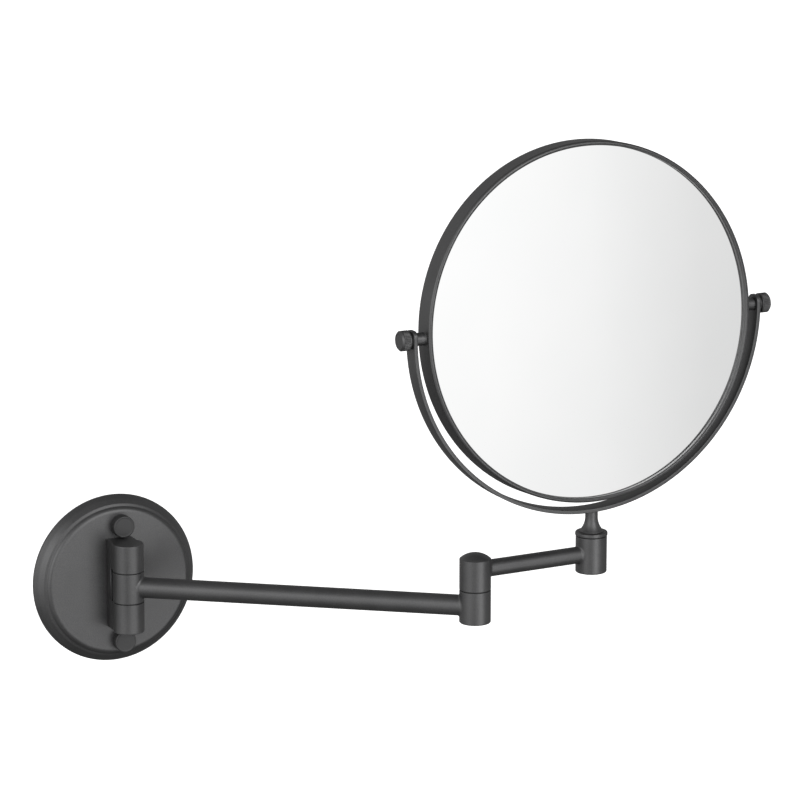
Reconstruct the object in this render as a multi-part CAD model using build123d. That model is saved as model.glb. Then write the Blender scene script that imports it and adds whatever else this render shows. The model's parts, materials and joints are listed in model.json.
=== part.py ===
from build123d import *
import os
from math import sqrt

# Extendable wall mirror, millimetres.
# Frame: origin at the centre of the round wall plate's back face, +Y into the wall, +X right, +Z up.

# Wall plate
plate_d = 99.1
face_depth = 10.4
foot_height = 1.6
flank_bulge = 0.3
ridge_d = 90.7
ridge_depth = 7.7
groove_d = 87.6
groove_depth = 7.4
shoulder_width = 2.6
rosette_wall = 1.8
bracket_d = 80.0
bracket_thickness = 2.0
wall_hole_spacing = 50.0
wall_hole_d = 5.2
stud_spacing = 68.5
stud_mid_x = 1.5
stud_mid_z = -1.0
stud_d = 5.0
cap_nut_d = 12.8
cap_nut_height = 5.2
cap_nut_roof = 1.2

# Barrels, pins and seams that the hinges share
barrel_d = 18.0
pin_d = 8.0
pin_head_d = 12.0
pin_head_height = 2.5
pin_head_recess = 0.3
pin_slot_width = 1.4
pin_slot_depth = 1.0
bush_wall = 1.5
barrel_edge = 0.5
washer_inset = 0.6
washer_thickness = 0.4

# Clearances
running_clearance = 0.05
hole_clearance = 0.1
glass_clearance = 0.3
slot_clearance = 0.6

# Wall hinge
hinge_offset = 24.3
hinge_block_width = 15.4
upper_knuckle_length = 16.2
middle_knuckle_length = 17.6
lower_knuckle_length = 17.6
middle_knuckle_z = 0.6
bracket_screw_z = 17.0
bracket_screw_d = 5.0
bracket_screw_depth = 7.0
bracket_screw_head_d = 9.0
bracket_screw_head_height = 3.0
hinge_pin_cover = 5.5

# Arms
main_arm_length = 202.5
main_tube_d = 12.0
main_tube_wall = 1.2
main_arm_z = 0.2
elbow_lower_length = 19.0
elbow_upper_length = 17.7
elbow_dome = 3.5
elbow_pin_cover = 4.5
elbow_head_room = 0.8
short_arm_length = 76.3
short_tube_d = 9.8
short_tube_wall = 1.5
short_arm_z = 21.2
end_barrel_length = 21.3
end_barrel_drop = 0.1
end_cap_d = 14.0
end_cap_thickness = 1.8

# Swivel and stem
spindle_length = 19.0
retaining_washer_thickness = 1.0
retaining_screw_d = 4.0
retaining_screw_head_d = 7.6
retaining_screw_head_height = 1.8
retaining_screw_length = 9.0
retaining_slot_width = 1.0
retaining_slot_depth = 0.7
wave_washer_height = 0.8
retaining_washer_inset = 0.6
collar_d = 18.6
collar_height = 2.15
collar_round = 0.9
stem_base_d = 14.0
stem_d = 7.3
stem_flare_height = 8.6
flare_waist_height = 0.44
flare_waist_share = 0.29
stem_rivet_d = 4.0

# Yoke
yoke_gap = 6.0
yoke_thickness = 2.3
yoke_width = 10.5
yoke_lift = 0.4
yoke_shift = -4.5
ear_height = 5.4
ear_round = 3.8
pivot_z = 157.4

# Mirror head
frame_d = 206.0
frame_depth = 13.9
frame_wall = 1.6
frame_round = 1.5
lip_width = 2.65
lip_round = 0.9
lip_depth = 2.95
glass_thickness = 2.0
magnifier_sag = 3.5
spacer_inner_d = 120.0

# Pivot knobs
boss_d = 7.4
boss_rivet_d = 5.2
boss_seat = 1.0
pivot_screw_d = 4.0
pivot_screw_reach = 7.0
inner_washer_thickness = 0.55
outer_washer_thickness = 0.85
outer_washer_d = 10.2
knob_neck_d = 8.4
knob_neck_length = 0.5
knob_d = 11.5
knob_length = 5.6
knob_chamfer = 0.9
knurl_count = 36
knurl_depth = 0.3
knurl_margin = 1.1

# Rest pose, degrees
main_arm_angle = 36.5
short_arm_angle = -3.5
head_angle = 1.2
mirror_tilt = 3.7

# Sizes worked out from the ones above
seam_gap = washer_thickness + 2 * running_clearance
barrel_r = barrel_d / 2
pin_r = pin_d / 2
bush_inner_r = pin_r + running_clearance
bush_outer_r = bush_inner_r + bush_wall
seam_washer_r = barrel_r - washer_inset
middle_bottom = middle_knuckle_z - middle_knuckle_length / 2
middle_top = middle_knuckle_z + middle_knuckle_length / 2
lower_top = middle_bottom - seam_gap
lower_bottom = lower_top - lower_knuckle_length
upper_bottom = middle_top + seam_gap
upper_top = upper_bottom + upper_knuckle_length
elbow_bottom = main_arm_z - elbow_lower_length / 2
elbow_seam = main_arm_z + elbow_lower_length / 2
elbow_upper_bottom = elbow_seam + seam_gap
end_barrel_bottom = short_arm_z - end_barrel_drop - end_barrel_length / 2
end_barrel_top = end_barrel_bottom + end_barrel_length
collar_bottom = end_barrel_top + seam_gap
collar_top = collar_bottom + collar_height
frame_r = frame_d / 2
lip_r = frame_r - lip_width
yoke_inner_r = frame_r + yoke_gap
yoke_outer_r = yoke_inner_r + yoke_thickness
yoke_centre_z = pivot_z + yoke_lift
frame_bore_r = frame_r - frame_wall
glass_r = frame_bore_r - glass_clearance
glass_front = frame_depth / 2 - lip_depth


def rod(diameter, bottom, top):
    """Upright cylinder on Z between two heights."""
    height = top - bottom
    return Pos(0, 0, bottom + height / 2) * Cylinder(diameter / 2, height)


def tube(outer_d, inner_d, bottom, top):
    """Upright tube on Z between two heights."""
    return rod(outer_d, bottom, top) - rod(inner_d, bottom, top)


def turned(outline):
    """Solid turned about Z from a closed outline drawn in radius and height."""
    return revolve(Plane.XZ * make_face(outline), Axis.Z)


def bevelled_rod(diameter, bottom, top, edge):
    """Upright cylinder with both rims broken."""
    body = rod(diameter, bottom, top)
    return chamfer(body.edges().filter_by(GeomType.CIRCLE), edge)


def out_of_wall(x, z):
    """Frame at a point of the wall, with its Z pointing into the room."""
    return Pos(x, 0, z) * Rot(90, 0, 0)


def along_x(diameter, start, end):
    """Cylinder on X between two places."""
    return Rot(0, 90, 0) * rod(diameter, start, end)


def cap_arc(rim_r, rim_height, rise, inner_r=0):
    """Arc of a spherical cap from its rim in to inner_r, with its two end points."""
    curve_r = (rim_r**2 + rise**2) / (2 * rise)
    centre_height = rim_height + rise - curve_r
    points = [
        (radius, centre_height + sqrt(curve_r**2 - radius**2))
        for radius in (rim_r, (rim_r + inner_r) / 2, inner_r)
    ]
    return ThreePointArc(*points), points[0], points[-1]


def grouped(pieces):
    """Equal pieces kept as separate solids of one node."""
    return Compound(children=list(pieces))


def make_wall_plate():
    """Bracket screwed to the wall, and the rosette that two cap nuts hold over it."""
    stud_places = [
        out_of_wall(stud_mid_x, stud_mid_z + side * stud_spacing / 2) for side in (1, -1)
    ]
    screw_places = [out_of_wall(0, side * bracket_screw_z) for side in (1, -1)]

    bracket = out_of_wall(0, 0) * rod(bracket_d, 0, bracket_thickness)
    for side in (1, -1):
        hole_place = out_of_wall(side * wall_hole_spacing / 2, 0)
        bracket -= hole_place * rod(wall_hole_d, 0, bracket_thickness)
    for place in stud_places:
        bracket -= place * rod(stud_d, 0, bracket_thickness)

    plate_r = plate_d / 2
    ridge_r = ridge_d / 2
    groove_r = groove_d / 2
    face_r = groove_r - shoulder_width
    inner_r = plate_r - rosette_wall
    inner_depth = face_depth - rosette_wall
    flank_mid = ((plate_r + ridge_r) / 2 + flank_bulge, (foot_height + ridge_depth) / 2)
    inner_mid = (flank_mid[0] - rosette_wall, flank_mid[1] - rosette_wall / 2)
    half_way = sqrt(0.5)
    shoulder_mid = (
        face_r + shoulder_width * half_way,
        groove_depth + (face_depth - groove_depth) * half_way,
    )
    rosette = turned([
        Line((plate_r, 0), (plate_r, foot_height)),
        ThreePointArc((plate_r, foot_height), flank_mid, (ridge_r, ridge_depth)),
        Line((ridge_r, ridge_depth), (groove_r, groove_depth)),
        ThreePointArc((groove_r, groove_depth), shoulder_mid, (face_r, face_depth)),
        Line((face_r, face_depth), (0, face_depth)),
        Line((0, face_depth), (0, inner_depth)),
        Line((0, inner_depth), (face_r - rosette_wall, inner_depth)),
        ThreePointArc((face_r - rosette_wall, inner_depth), inner_mid, (inner_r, foot_height)),
        Line((inner_r, foot_height), (inner_r, 0)),
        Line((inner_r, 0), (plate_r, 0)),
    ])
    rosette = out_of_wall(0, 0) * rosette
    for place in stud_places:
        rosette -= place * rod(stud_d + 2 * hole_clearance, inner_depth - 1, face_depth + 1)
    for place in screw_places:
        rosette -= place * rod(bracket_screw_d + 2 * hole_clearance, inner_depth - 1, face_depth + 1)

    stud_end = face_depth + cap_nut_height - cap_nut_roof
    studs = [place * rod(stud_d, 0, stud_end) for place in stud_places]
    cap_nut = bevelled_rod(cap_nut_d, face_depth, face_depth + cap_nut_height, barrel_edge)
    cap_nut -= rod(stud_d, face_depth, stud_end)
    screw_tip = face_depth + bracket_screw_depth
    screw = rod(bracket_screw_d, inner_depth, screw_tip)
    screw += bevelled_rod(bracket_screw_head_d, inner_depth - bracket_screw_head_height, inner_depth, 0.4)

    nodes["wall_bracket"] = bracket
    nodes["rosette"] = rosette
    nodes["bracket_studs"] = grouped(studs)
    nodes["cap_nuts"] = grouped(place * cap_nut for place in stud_places)
    nodes["bracket_screws"] = grouped(place * screw for place in screw_places)
    return [place * rod(bracket_screw_d, face_depth, screw_tip) for place in screw_places]


def make_hinge_bracket(screw_holes):
    """Casting with the upper and lower knuckles, and the pin that runs through them."""
    height = upper_top - lower_bottom
    centre_z = (upper_top + lower_bottom) / 2
    block_depth = hinge_offset - face_depth
    block = Pos(0, -face_depth - block_depth / 2, centre_z) * Box(hinge_block_width, block_depth, height)
    knuckles = bevelled_rod(barrel_d, lower_bottom, upper_top, barrel_edge)
    bracket = block + Pos(0, -hinge_offset, 0) * knuckles

    slot_height = upper_bottom - lower_top
    slot_back = hinge_offset - barrel_r - slot_clearance
    slot = Pos(0, -slot_back - barrel_d, (upper_bottom + lower_top) / 2)
    bracket -= slot * Box(2 * barrel_d, 2 * barrel_d, slot_height)

    pin_top = upper_top - hinge_pin_cover
    head_top = lower_bottom + pin_head_height + pin_head_recess
    bores = rod(pin_d, lower_bottom, pin_top)
    bores += rod(pin_head_d + 2 * hole_clearance, lower_bottom, head_top)
    bracket -= Pos(0, -hinge_offset, 0) * bores
    for hole in screw_holes:
        bracket -= hole

    pin = rod(pin_d, head_top, pin_top)
    pin += rod(pin_head_d, head_top - pin_head_height, head_top)
    slot_cut = Pos(0, 0, head_top - pin_head_height) * Box(pin_head_d, pin_slot_width, 2 * pin_slot_depth)
    nodes["hinge_bracket"] = bracket
    nodes["hinge_pin"] = Pos(0, -hinge_offset, 0) * (pin - slot_cut)


def seam_washer(bottom):
    """Thin friction washer in the seam between two barrels."""
    inner_d = pin_d + 2 * hole_clearance
    start = bottom + running_clearance
    return tube(2 * seam_washer_r, inner_d, start, start + washer_thickness)


def arm_tube(diameter, wall, length, height):
    """Tube between two barrels, with both ends cut to sit on them."""
    body = along_x(diameter, 0, length) - along_x(diameter - 2 * wall, 0, length)
    body = Pos(0, 0, height) * body
    for x in (0, length):
        body -= Pos(x, 0, height) * Cylinder(barrel_r, 2 * barrel_d)
    return body.solids().sort_by(SortBy.VOLUME)[-1]


def make_main_arm(place):
    """Middle knuckle, long tube and the lower barrel of the elbow."""
    knuckle = rod(barrel_d, middle_bottom, middle_top) - rod(2 * bush_outer_r, middle_bottom, middle_top)
    nodes["middle_knuckle"] = place * knuckle
    nodes["hinge_bush"] = place * tube(2 * bush_outer_r, 2 * bush_inner_r, middle_bottom, middle_top)
    nodes["hinge_washers"] = grouped(place * seam_washer(z) for z in (middle_top, lower_top))
    tube_body = arm_tube(main_tube_d, main_tube_wall, main_arm_length, main_arm_z)
    nodes["main_tube"] = place * tube_body

    head_room = pin_head_height + washer_thickness + 2 * running_clearance + elbow_head_room
    bush_bottom = elbow_bottom + head_room
    barrel = bevelled_rod(barrel_d, elbow_bottom, elbow_seam, barrel_edge / 2)
    barrel -= rod(2 * bush_outer_r, bush_bottom, elbow_seam)
    barrel -= rod(pin_head_d + 4 * hole_clearance, elbow_bottom, bush_bottom)
    elbow = place * Pos(main_arm_length, 0, 0)
    nodes["elbow_lower_barrel"] = elbow * barrel
    nodes["elbow_bush"] = elbow * tube(2 * bush_outer_r, 2 * bush_inner_r, bush_bottom, elbow_seam)
    return bush_bottom


def make_short_arm(place, bush_bottom):
    """Domed upper barrel of the elbow with its pin, short tube and the end barrel."""
    barrel_top = elbow_upper_bottom + elbow_upper_length
    dome_arc, dome_rim, dome_apex = cap_arc(barrel_r, barrel_top, elbow_dome)
    domed_barrel = turned([
        Line((0, elbow_upper_bottom), (barrel_r, elbow_upper_bottom)),
        Line((barrel_r, elbow_upper_bottom), dome_rim),
        dome_arc,
        Line(dome_apex, (0, elbow_upper_bottom)),
    ])
    pin_top = barrel_top - elbow_pin_cover
    washer_top = bush_bottom - running_clearance
    washer_bottom = washer_top - washer_thickness
    pin = rod(pin_d, washer_bottom, pin_top)
    pin += rod(pin_head_d, washer_bottom - pin_head_height, washer_bottom)
    slot_place = Pos(0, 0, washer_bottom - pin_head_height)
    pin -= slot_place * Box(pin_head_d, pin_slot_width, 2 * pin_slot_depth)
    nodes["elbow_upper_barrel"] = place * (domed_barrel - rod(pin_d, elbow_upper_bottom, pin_top))
    nodes["elbow_pin"] = place * pin
    washer_d = pin_head_d - washer_thickness
    nodes["elbow_spring_washer"] = place * tube(washer_d, pin_d, washer_bottom, washer_top)
    nodes["elbow_washer"] = place * seam_washer(elbow_seam)
    nodes["short_tube"] = place * arm_tube(short_tube_d, short_tube_wall, short_arm_length, short_arm_z)

    chamber_top = collar_top - spindle_length + wave_washer_height
    cap_top = end_barrel_bottom + end_cap_thickness
    end_barrel = bevelled_rod(barrel_d, end_barrel_bottom, end_barrel_top, barrel_edge / 2)
    end_barrel -= rod(2 * bush_outer_r, chamber_top, end_barrel_top)
    end_barrel -= rod(end_cap_d, end_barrel_bottom, chamber_top)
    end = place * Pos(short_arm_length, 0, 0)
    nodes["end_barrel"] = end * end_barrel
    nodes["swivel_bush"] = end * tube(2 * bush_outer_r, 2 * bush_inner_r, chamber_top, end_barrel_top)
    nodes["barrel_end_cap"] = end * rod(end_cap_d, end_barrel_bottom, cap_top)
    return chamber_top


def make_stem(place, chamber_top):
    """Swivel spindle with its collar, flared stem and the screw that keeps it in the barrel."""
    spindle_bottom = collar_top - spindle_length
    flare_top = collar_top + stem_flare_height
    base_r = stem_base_d / 2
    stem_r = stem_d / 2
    flare = turned([
        Line((0, collar_top), (base_r, collar_top)),
        ThreePointArc(
            (base_r, collar_top),
            (
                stem_r + flare_waist_share * (base_r - stem_r),
                collar_top + flare_waist_height * stem_flare_height,
            ),
            (stem_r, flare_top),
        ),
        Line((stem_r, flare_top), (0, flare_top)),
        Line((0, flare_top), (0, collar_top)),
    ])
    yoke_axis = Pos(yoke_shift, 0, yoke_centre_z) * Rot(90, 0, 0)
    neck = rod(stem_d, flare_top, yoke_centre_z - yoke_outer_r + yoke_thickness)
    neck -= yoke_axis * Cylinder(yoke_outer_r, 4 * stem_d)
    rivet = rod(stem_rivet_d, flare_top, yoke_centre_z - yoke_inner_r + yoke_thickness)
    rivet -= yoke_axis * Cylinder(yoke_inner_r, 4 * stem_d)
    screw_hole = rod(retaining_screw_d, spindle_bottom, spindle_bottom + retaining_screw_length)
    stem = rod(pin_d, spindle_bottom, collar_top) + flare + neck + rivet - screw_hole

    collar = tube(collar_d, pin_d, collar_bottom, collar_top)
    rim = collar.edges().filter_by(GeomType.CIRCLE).sort_by(Axis.Z)[-2:].sort_by(SortBy.RADIUS)[-1]
    collar = fillet(rim, collar_round)

    washer_bottom = spindle_bottom - retaining_washer_thickness
    head_bottom = washer_bottom - retaining_screw_head_height
    screw = rod(retaining_screw_d, washer_bottom, spindle_bottom + retaining_screw_length)
    screw += rod(retaining_screw_head_d, head_bottom, washer_bottom)
    slot_cut = Box(retaining_screw_head_d, retaining_slot_width, 2 * retaining_slot_depth)
    screw -= Pos(0, 0, head_bottom) * slot_cut
    washer_d = end_cap_d - 2 * retaining_washer_inset
    nodes["head_stem"] = place * stem
    nodes["swivel_collar"] = place * collar
    nodes["swivel_washer"] = place * seam_washer(end_barrel_top)
    nodes["wave_washer"] = place * tube(
        washer_d, pin_d + 2 * hole_clearance, spindle_bottom, chamber_top - running_clearance
    )
    nodes["retaining_washer"] = place * tube(washer_d, retaining_screw_d, washer_bottom, spindle_bottom)
    nodes["retaining_screw"] = place * screw


def make_yoke(place):
    """Half-round strap with an ear at each end for the pivot screws."""
    lower_half = Pos(0, -yoke_outer_r) * Rectangle(4 * yoke_outer_r, 2 * yoke_outer_r)
    outline = (Circle(yoke_outer_r) - Circle(yoke_inner_r)) & lower_half
    ear_top = ear_height - yoke_lift
    for side in (1, -1):
        ear = Pos(side * (yoke_inner_r + yoke_thickness / 2), ear_top / 2)
        outline += ear * Rectangle(yoke_thickness, ear_top)
    strap = extrude(Plane.XZ * outline, yoke_width / 2, both=True)
    ear_edges = strap.edges().filter_by(Axis.X).group_by(Axis.Z)[-1]
    strap = fillet(ear_edges, ear_round)

    pivot_hole = along_x(pivot_screw_d + 2 * hole_clearance, -yoke_outer_r - 1, yoke_outer_r + 1)
    strap -= Pos(0, 0, -yoke_lift) * pivot_hole
    strap = Pos(yoke_shift, 0, yoke_centre_z) * strap
    strap -= rod(stem_rivet_d, 0, pivot_z)
    nodes["yoke"] = place * strap


def make_mirror(place):
    """Round frame with a plain glass in front, a magnifying glass behind and the pivot bosses."""
    half = frame_depth / 2
    back_round = lip_round / 2
    frame = turned([
        Line((frame_bore_r, -half), (frame_r - back_round, -half)),
        JernArc((frame_r - back_round, -half), (1, 0), back_round, 90),
        Line((frame_r, -half + back_round), (frame_r, half - frame_round)),
        JernArc((frame_r, half - frame_round), (0, 1), frame_round, 90),
        Line((frame_r - frame_round, half), (lip_r + lip_round, half)),
        JernArc((lip_r + lip_round, half), (-1, 0), lip_round, 90),
        Line((lip_r, half - lip_round), (lip_r, glass_front)),
        Line((lip_r, glass_front), (frame_bore_r, glass_front)),
        Line((frame_bore_r, glass_front), (frame_bore_r, -half)),
    ])
    bezel = turned([
        Line((lip_r, -glass_front), (frame_bore_r, -glass_front)),
        Line((frame_bore_r, -glass_front), (frame_bore_r, -half)),
        Line((frame_bore_r, -half), (lip_r + back_round, -half)),
        JernArc((lip_r + back_round, -half), (-1, 0), back_round, -90),
        Line((lip_r, -half + back_round), (lip_r, -glass_front)),
    ])

    dish_rim = -glass_front + glass_thickness
    back_arc, back_rim, back_centre = cap_arc(glass_r, -glass_front, magnifier_sag)
    front_arc, front_rim, front_centre = cap_arc(glass_r, dish_rim, magnifier_sag)
    magnifier = turned([
        back_arc,
        Line(back_centre, front_centre),
        front_arc,
        Line(front_rim, back_rim),
    ])
    spacer_arc, spacer_rim, spacer_hub = cap_arc(glass_r, dish_rim, magnifier_sag, spacer_inner_d / 2)
    spacer_top = glass_front - glass_thickness
    spacer = turned([
        spacer_arc,
        Line(spacer_hub, (spacer_hub[0], spacer_top)),
        Line((spacer_hub[0], spacer_top), (glass_r, spacer_top)),
        Line((glass_r, spacer_top), spacer_rim),
    ])

    facing = place * Rot(90, 0, 0)
    rivet_hole = along_x(boss_rivet_d, -frame_r - 1, frame_r + 1)
    frame = Rot(90, 0, 0) * frame - rivet_hole
    nodes["frame_ring"] = place * frame
    nodes["rear_bezel"] = facing * bezel
    nodes["front_mirror"] = facing * rod(2 * glass_r, spacer_top, glass_front)
    nodes["magnifying_mirror"] = facing * magnifier
    nodes["glass_spacer"] = facing * spacer


def make_pivots(mirror_place, head_place):
    """Boss, washers and knurled clamp knob on each side of the frame."""
    ear_inner = sqrt(yoke_inner_r**2 - (boss_d / 2 + yoke_lift) ** 2)
    ear_outer = yoke_outer_r
    boss_end = ear_inner - running_clearance - inner_washer_thickness
    screw_gap = 2 * running_clearance
    boss = rod(boss_d, frame_r - boss_seat, boss_end)
    boss -= Rot(90, 0, 0) * Cylinder(frame_r, 2 * boss_d)
    boss += rod(boss_rivet_d, frame_bore_r + glass_clearance, frame_r + boss_seat)
    boss -= rod(pivot_screw_d + screw_gap, frame_bore_r, boss_end)
    inner_washer = tube(boss_d, pivot_screw_d + screw_gap, boss_end, boss_end + inner_washer_thickness)
    outer_start = ear_outer + running_clearance
    outer_end = outer_start + outer_washer_thickness
    outer_washer = tube(outer_washer_d, pivot_screw_d + screw_gap, outer_start, outer_end)

    neck_start = outer_end + running_clearance
    body_start = neck_start + knob_neck_length
    knob_end = body_start + knob_length
    knob = rod(knob_d, body_start, knob_end)
    outer_rim = knob.edges().filter_by(GeomType.CIRCLE).sort_by(Axis.Z)[-1]
    knob = chamfer(outer_rim, knob_chamfer)
    groove_side = knurl_depth * sqrt(2)
    groove = Pos(knob_d / 2, 0, body_start + knob_length / 2) * Rot(0, 0, 45)
    groove = groove * Box(groove_side, groove_side, knob_length - 2 * knurl_margin)
    knob -= [Rot(0, 0, 360 * n / knurl_count) * groove for n in range(knurl_count)]
    knob += rod(knob_neck_d, neck_start, body_start)
    knob += rod(pivot_screw_d, ear_inner - pivot_screw_reach, body_start)

    sides = {"right": Rot(0, 90, 0), "left": Rot(0, -90, 0)}
    nodes["pivot_bosses"] = grouped(mirror_place * side * boss for side in sides.values())
    nodes["inner_pivot_washers"] = grouped(mirror_place * side * inner_washer for side in sides.values())
    nodes["outer_pivot_washers"] = grouped(head_place * side * outer_washer for side in sides.values())
    for name, side in sides.items():
        nodes[f"knob_{name}"] = mirror_place * side * knob


nodes = {}
hinge = Pos(0, -hinge_offset, 0) * Rot(0, 0, -main_arm_angle)
elbow = hinge * Pos(main_arm_length, 0, 0) * Rot(0, 0, main_arm_angle - short_arm_angle)
swivel = elbow * Pos(short_arm_length, 0, 0) * Rot(0, 0, short_arm_angle + head_angle)
pivot = swivel * Pos(yoke_shift, 0, pivot_z)
tilted = pivot * Rot(-mirror_tilt, 0, 0)

make_hinge_bracket(make_wall_plate())
chamber_top = make_short_arm(elbow, make_main_arm(hinge))
make_stem(swivel, chamber_top)
make_yoke(swivel)
make_mirror(tilted)
make_pivots(tilted, pivot)

os.makedirs("parts", exist_ok=True)
for name, shape in nodes.items():
    export_step(shape, f"parts/{name}.step")

for name, frame in {"hinge": hinge, "elbow": elbow, "swivel": swivel, "pivot": pivot}.items():
    print(name, [round(value, 4) for value in frame.position])
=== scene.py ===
import bpy
import bmesh
import json
import math
import numpy as np
from mathutils import Matrix


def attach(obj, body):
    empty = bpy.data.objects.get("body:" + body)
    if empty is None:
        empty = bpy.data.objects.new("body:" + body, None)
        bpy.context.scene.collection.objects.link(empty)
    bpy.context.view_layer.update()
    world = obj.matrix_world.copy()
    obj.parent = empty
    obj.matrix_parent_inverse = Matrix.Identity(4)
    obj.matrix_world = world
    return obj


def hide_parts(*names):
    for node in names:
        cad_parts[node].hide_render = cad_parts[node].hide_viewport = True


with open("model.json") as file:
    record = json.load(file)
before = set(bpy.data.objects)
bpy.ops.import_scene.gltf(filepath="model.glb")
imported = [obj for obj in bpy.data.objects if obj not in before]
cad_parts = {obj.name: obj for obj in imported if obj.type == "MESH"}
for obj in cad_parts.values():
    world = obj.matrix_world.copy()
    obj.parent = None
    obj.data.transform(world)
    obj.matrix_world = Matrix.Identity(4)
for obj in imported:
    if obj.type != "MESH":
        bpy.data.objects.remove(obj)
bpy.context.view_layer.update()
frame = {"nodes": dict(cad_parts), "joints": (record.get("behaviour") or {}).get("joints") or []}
print("frame loaded:", len(frame["nodes"]), "nodes")

mm = 0.001
fullTurn = 2 * math.pi


# where things are, all in millimetres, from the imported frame

def unit(vector):
    vector = np.array(vector, float)
    return vector / np.linalg.norm(vector)


def frameAt(origin, acrossAxis, upAxis):
    # origin and three square axes as rows: x = acrossAxis made square to z, z = upAxis
    z = unit(upAxis)
    x = unit(np.array(acrossAxis, float) - z * np.dot(acrossAxis, z))
    return np.array(origin, float), np.array([x, np.cross(z, x), z])


def toRow(points, place):
    # local point (a, b, c) goes to origin + a * x + b * y + c * z
    origin, axes = place
    return points @ axes + origin


def nodePoints(node):
    mesh = frame["nodes"][node].data
    points = np.zeros(len(mesh.vertices) * 3)
    mesh.vertices.foreach_get("co", points)
    return points.reshape(-1, 3) / mm


def reach(node, place):
    # lowest and highest corner of a node measured along the axes of a frame
    origin, axes = place
    points = (nodePoints(node) - origin) @ axes.T
    return points.min(0), points.max(0)


jointPlace = {joint["name"]: np.array(joint["pos_m"]) / mm for joint in frame["joints"]}
tiltAxis = [joint["axis"] for joint in frame["joints"] if joint["name"] == "mirror_tilt"][0]
glassPoints = nodePoints("front_mirror")
glassNormal = np.linalg.svd(glassPoints - glassPoints.mean(0), full_matrices=False)[2][2]  # the thin way
glassNormal = glassNormal * -np.sign(glassNormal[1])  # faces the room

up = np.array([0.0, 0.0, 1.0])
floorLevel = np.array([1.0, 1.0, 0.0])
uprightJoints = ("wall_hinge", "elbow_hinge", "head_swivel")
hingeAt, elbowAt, swivelAt = (jointPlace[name] * floorLevel for name in uprightJoints)
pivotAt = jointPlace["mirror_tilt"]
wallFrame = frameAt((0, 0, 0), (1, 0, 0), (0, -1, 0))
hingeFrame = frameAt(hingeAt, elbowAt - hingeAt, up)
plateHingeFrame = frameAt(hingeAt, (1, 0, 0), up)
elbowFrame = frameAt(elbowAt, swivelAt - elbowAt, up)
endFrame = frameAt(swivelAt, swivelAt - elbowAt, up)
swivelFrame = frameAt(swivelAt, tiltAxis, up)
yokeFrame = frameAt(pivotAt, tiltAxis, up)
mirrorFrame = frameAt(pivotAt, tiltAxis, glassNormal)
sideFrames = {
    "Right": frameAt(pivotAt, glassNormal, np.array(tiltAxis)),
    "Left": frameAt(pivotAt, glassNormal, -np.array(tiltAxis)),
}
armLength = np.linalg.norm(elbowAt - hingeAt)
shortArmLength = np.linalg.norm(swivelAt - elbowAt)


# shader nodes

class Wire:
    # One socket of a node tree. Plus, times and number-minus-wire add Math nodes.
    def __init__(self, tree, socket=None):
        self.tree = tree
        self.socket = socket

    def node(self, kind, settings=None, inputs=None, out=0):
        made = self.tree.nodes.new(kind)
        for key, value in (settings or {}).items():
            if key == "stops":
                setStops(made.color_ramp, value)
            else:
                setattr(made, key, value)
        for key, value in (inputs or {}).items():
            if isinstance(value, Wire):
                self.tree.links.new(value.socket, made.inputs[key])
            else:
                made.inputs[key].default_value = value
        return Wire(self.tree, made.outputs[out] if made.outputs else None)

    def maths(self, operation, first, second):
        return self.node("ShaderNodeMath", {"operation": operation}, {0: first, 1: second})

    def __add__(self, other):
        return self.maths("ADD", self, other)

    def __mul__(self, other):
        return self.maths("MULTIPLY", self, other)

    def __rsub__(self, other):
        return self.maths("SUBTRACT", other, self)


def setStops(ramp, stops):
    while len(ramp.elements) < len(stops):
        ramp.elements.new(0.5)
    for element, (place, shade) in zip(ramp.elements, stops):
        element.position = place
        element.color = (*shade, 1) if hasattr(shade, "__len__") else (shade, shade, shade, 1)


def bench(name):
    # an empty material and the wire that starts its nodes
    material = bpy.data.materials.new(name)
    material.use_nodes = True
    material.node_tree.nodes.clear()
    return material, Wire(material.node_tree)


def finishCoat(wire, settings):
    shader = wire.node("ShaderNodeBsdfPrincipled", inputs=settings)
    wire.node("ShaderNodeOutputMaterial", inputs={"Surface": shader})


def mixColour(wire, factor, first, second):
    return wire.node("ShaderNodeMix", {"data_type": "RGBA"}, {0: factor, 6: first, 7: second}, out=2)


def grain(wire, point, size, detail=2.0, roughness=0.5):
    # noise whose lumps are about size millimetres
    return wire.node(
        "ShaderNodeTexNoise", {"noise_dimensions": "3D"},
        {"Vector": point, "Scale": 1 / (size * mm), "Detail": detail, "Roughness": roughness},
    )


def objectPoint(wire):
    return wire.node("ShaderNodeTexCoord", out=3)


def spread(wire, value, low, high):
    # noise lies mostly between 0.3 and 0.7: that range is carried to low..high, the rest is held at the ends
    return wire.node("ShaderNodeMapRange", inputs={"Value": value, "From Min": 0.3, "From Max": 0.7,
                                                   "To Min": low, "To Max": high})


graphite = {"dark": 0.094, "light": 0.146, "metal": 0.75, "roughness": (0.36, 0.48), "speck": 0.6,
            "orangePeel": 1.6, "cloud": 22.0, "blueness": 1.012}
turnedGraphite = {**graphite, "dark": 0.07, "light": 0.09, "roughness": (0.46, 0.58)}


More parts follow.
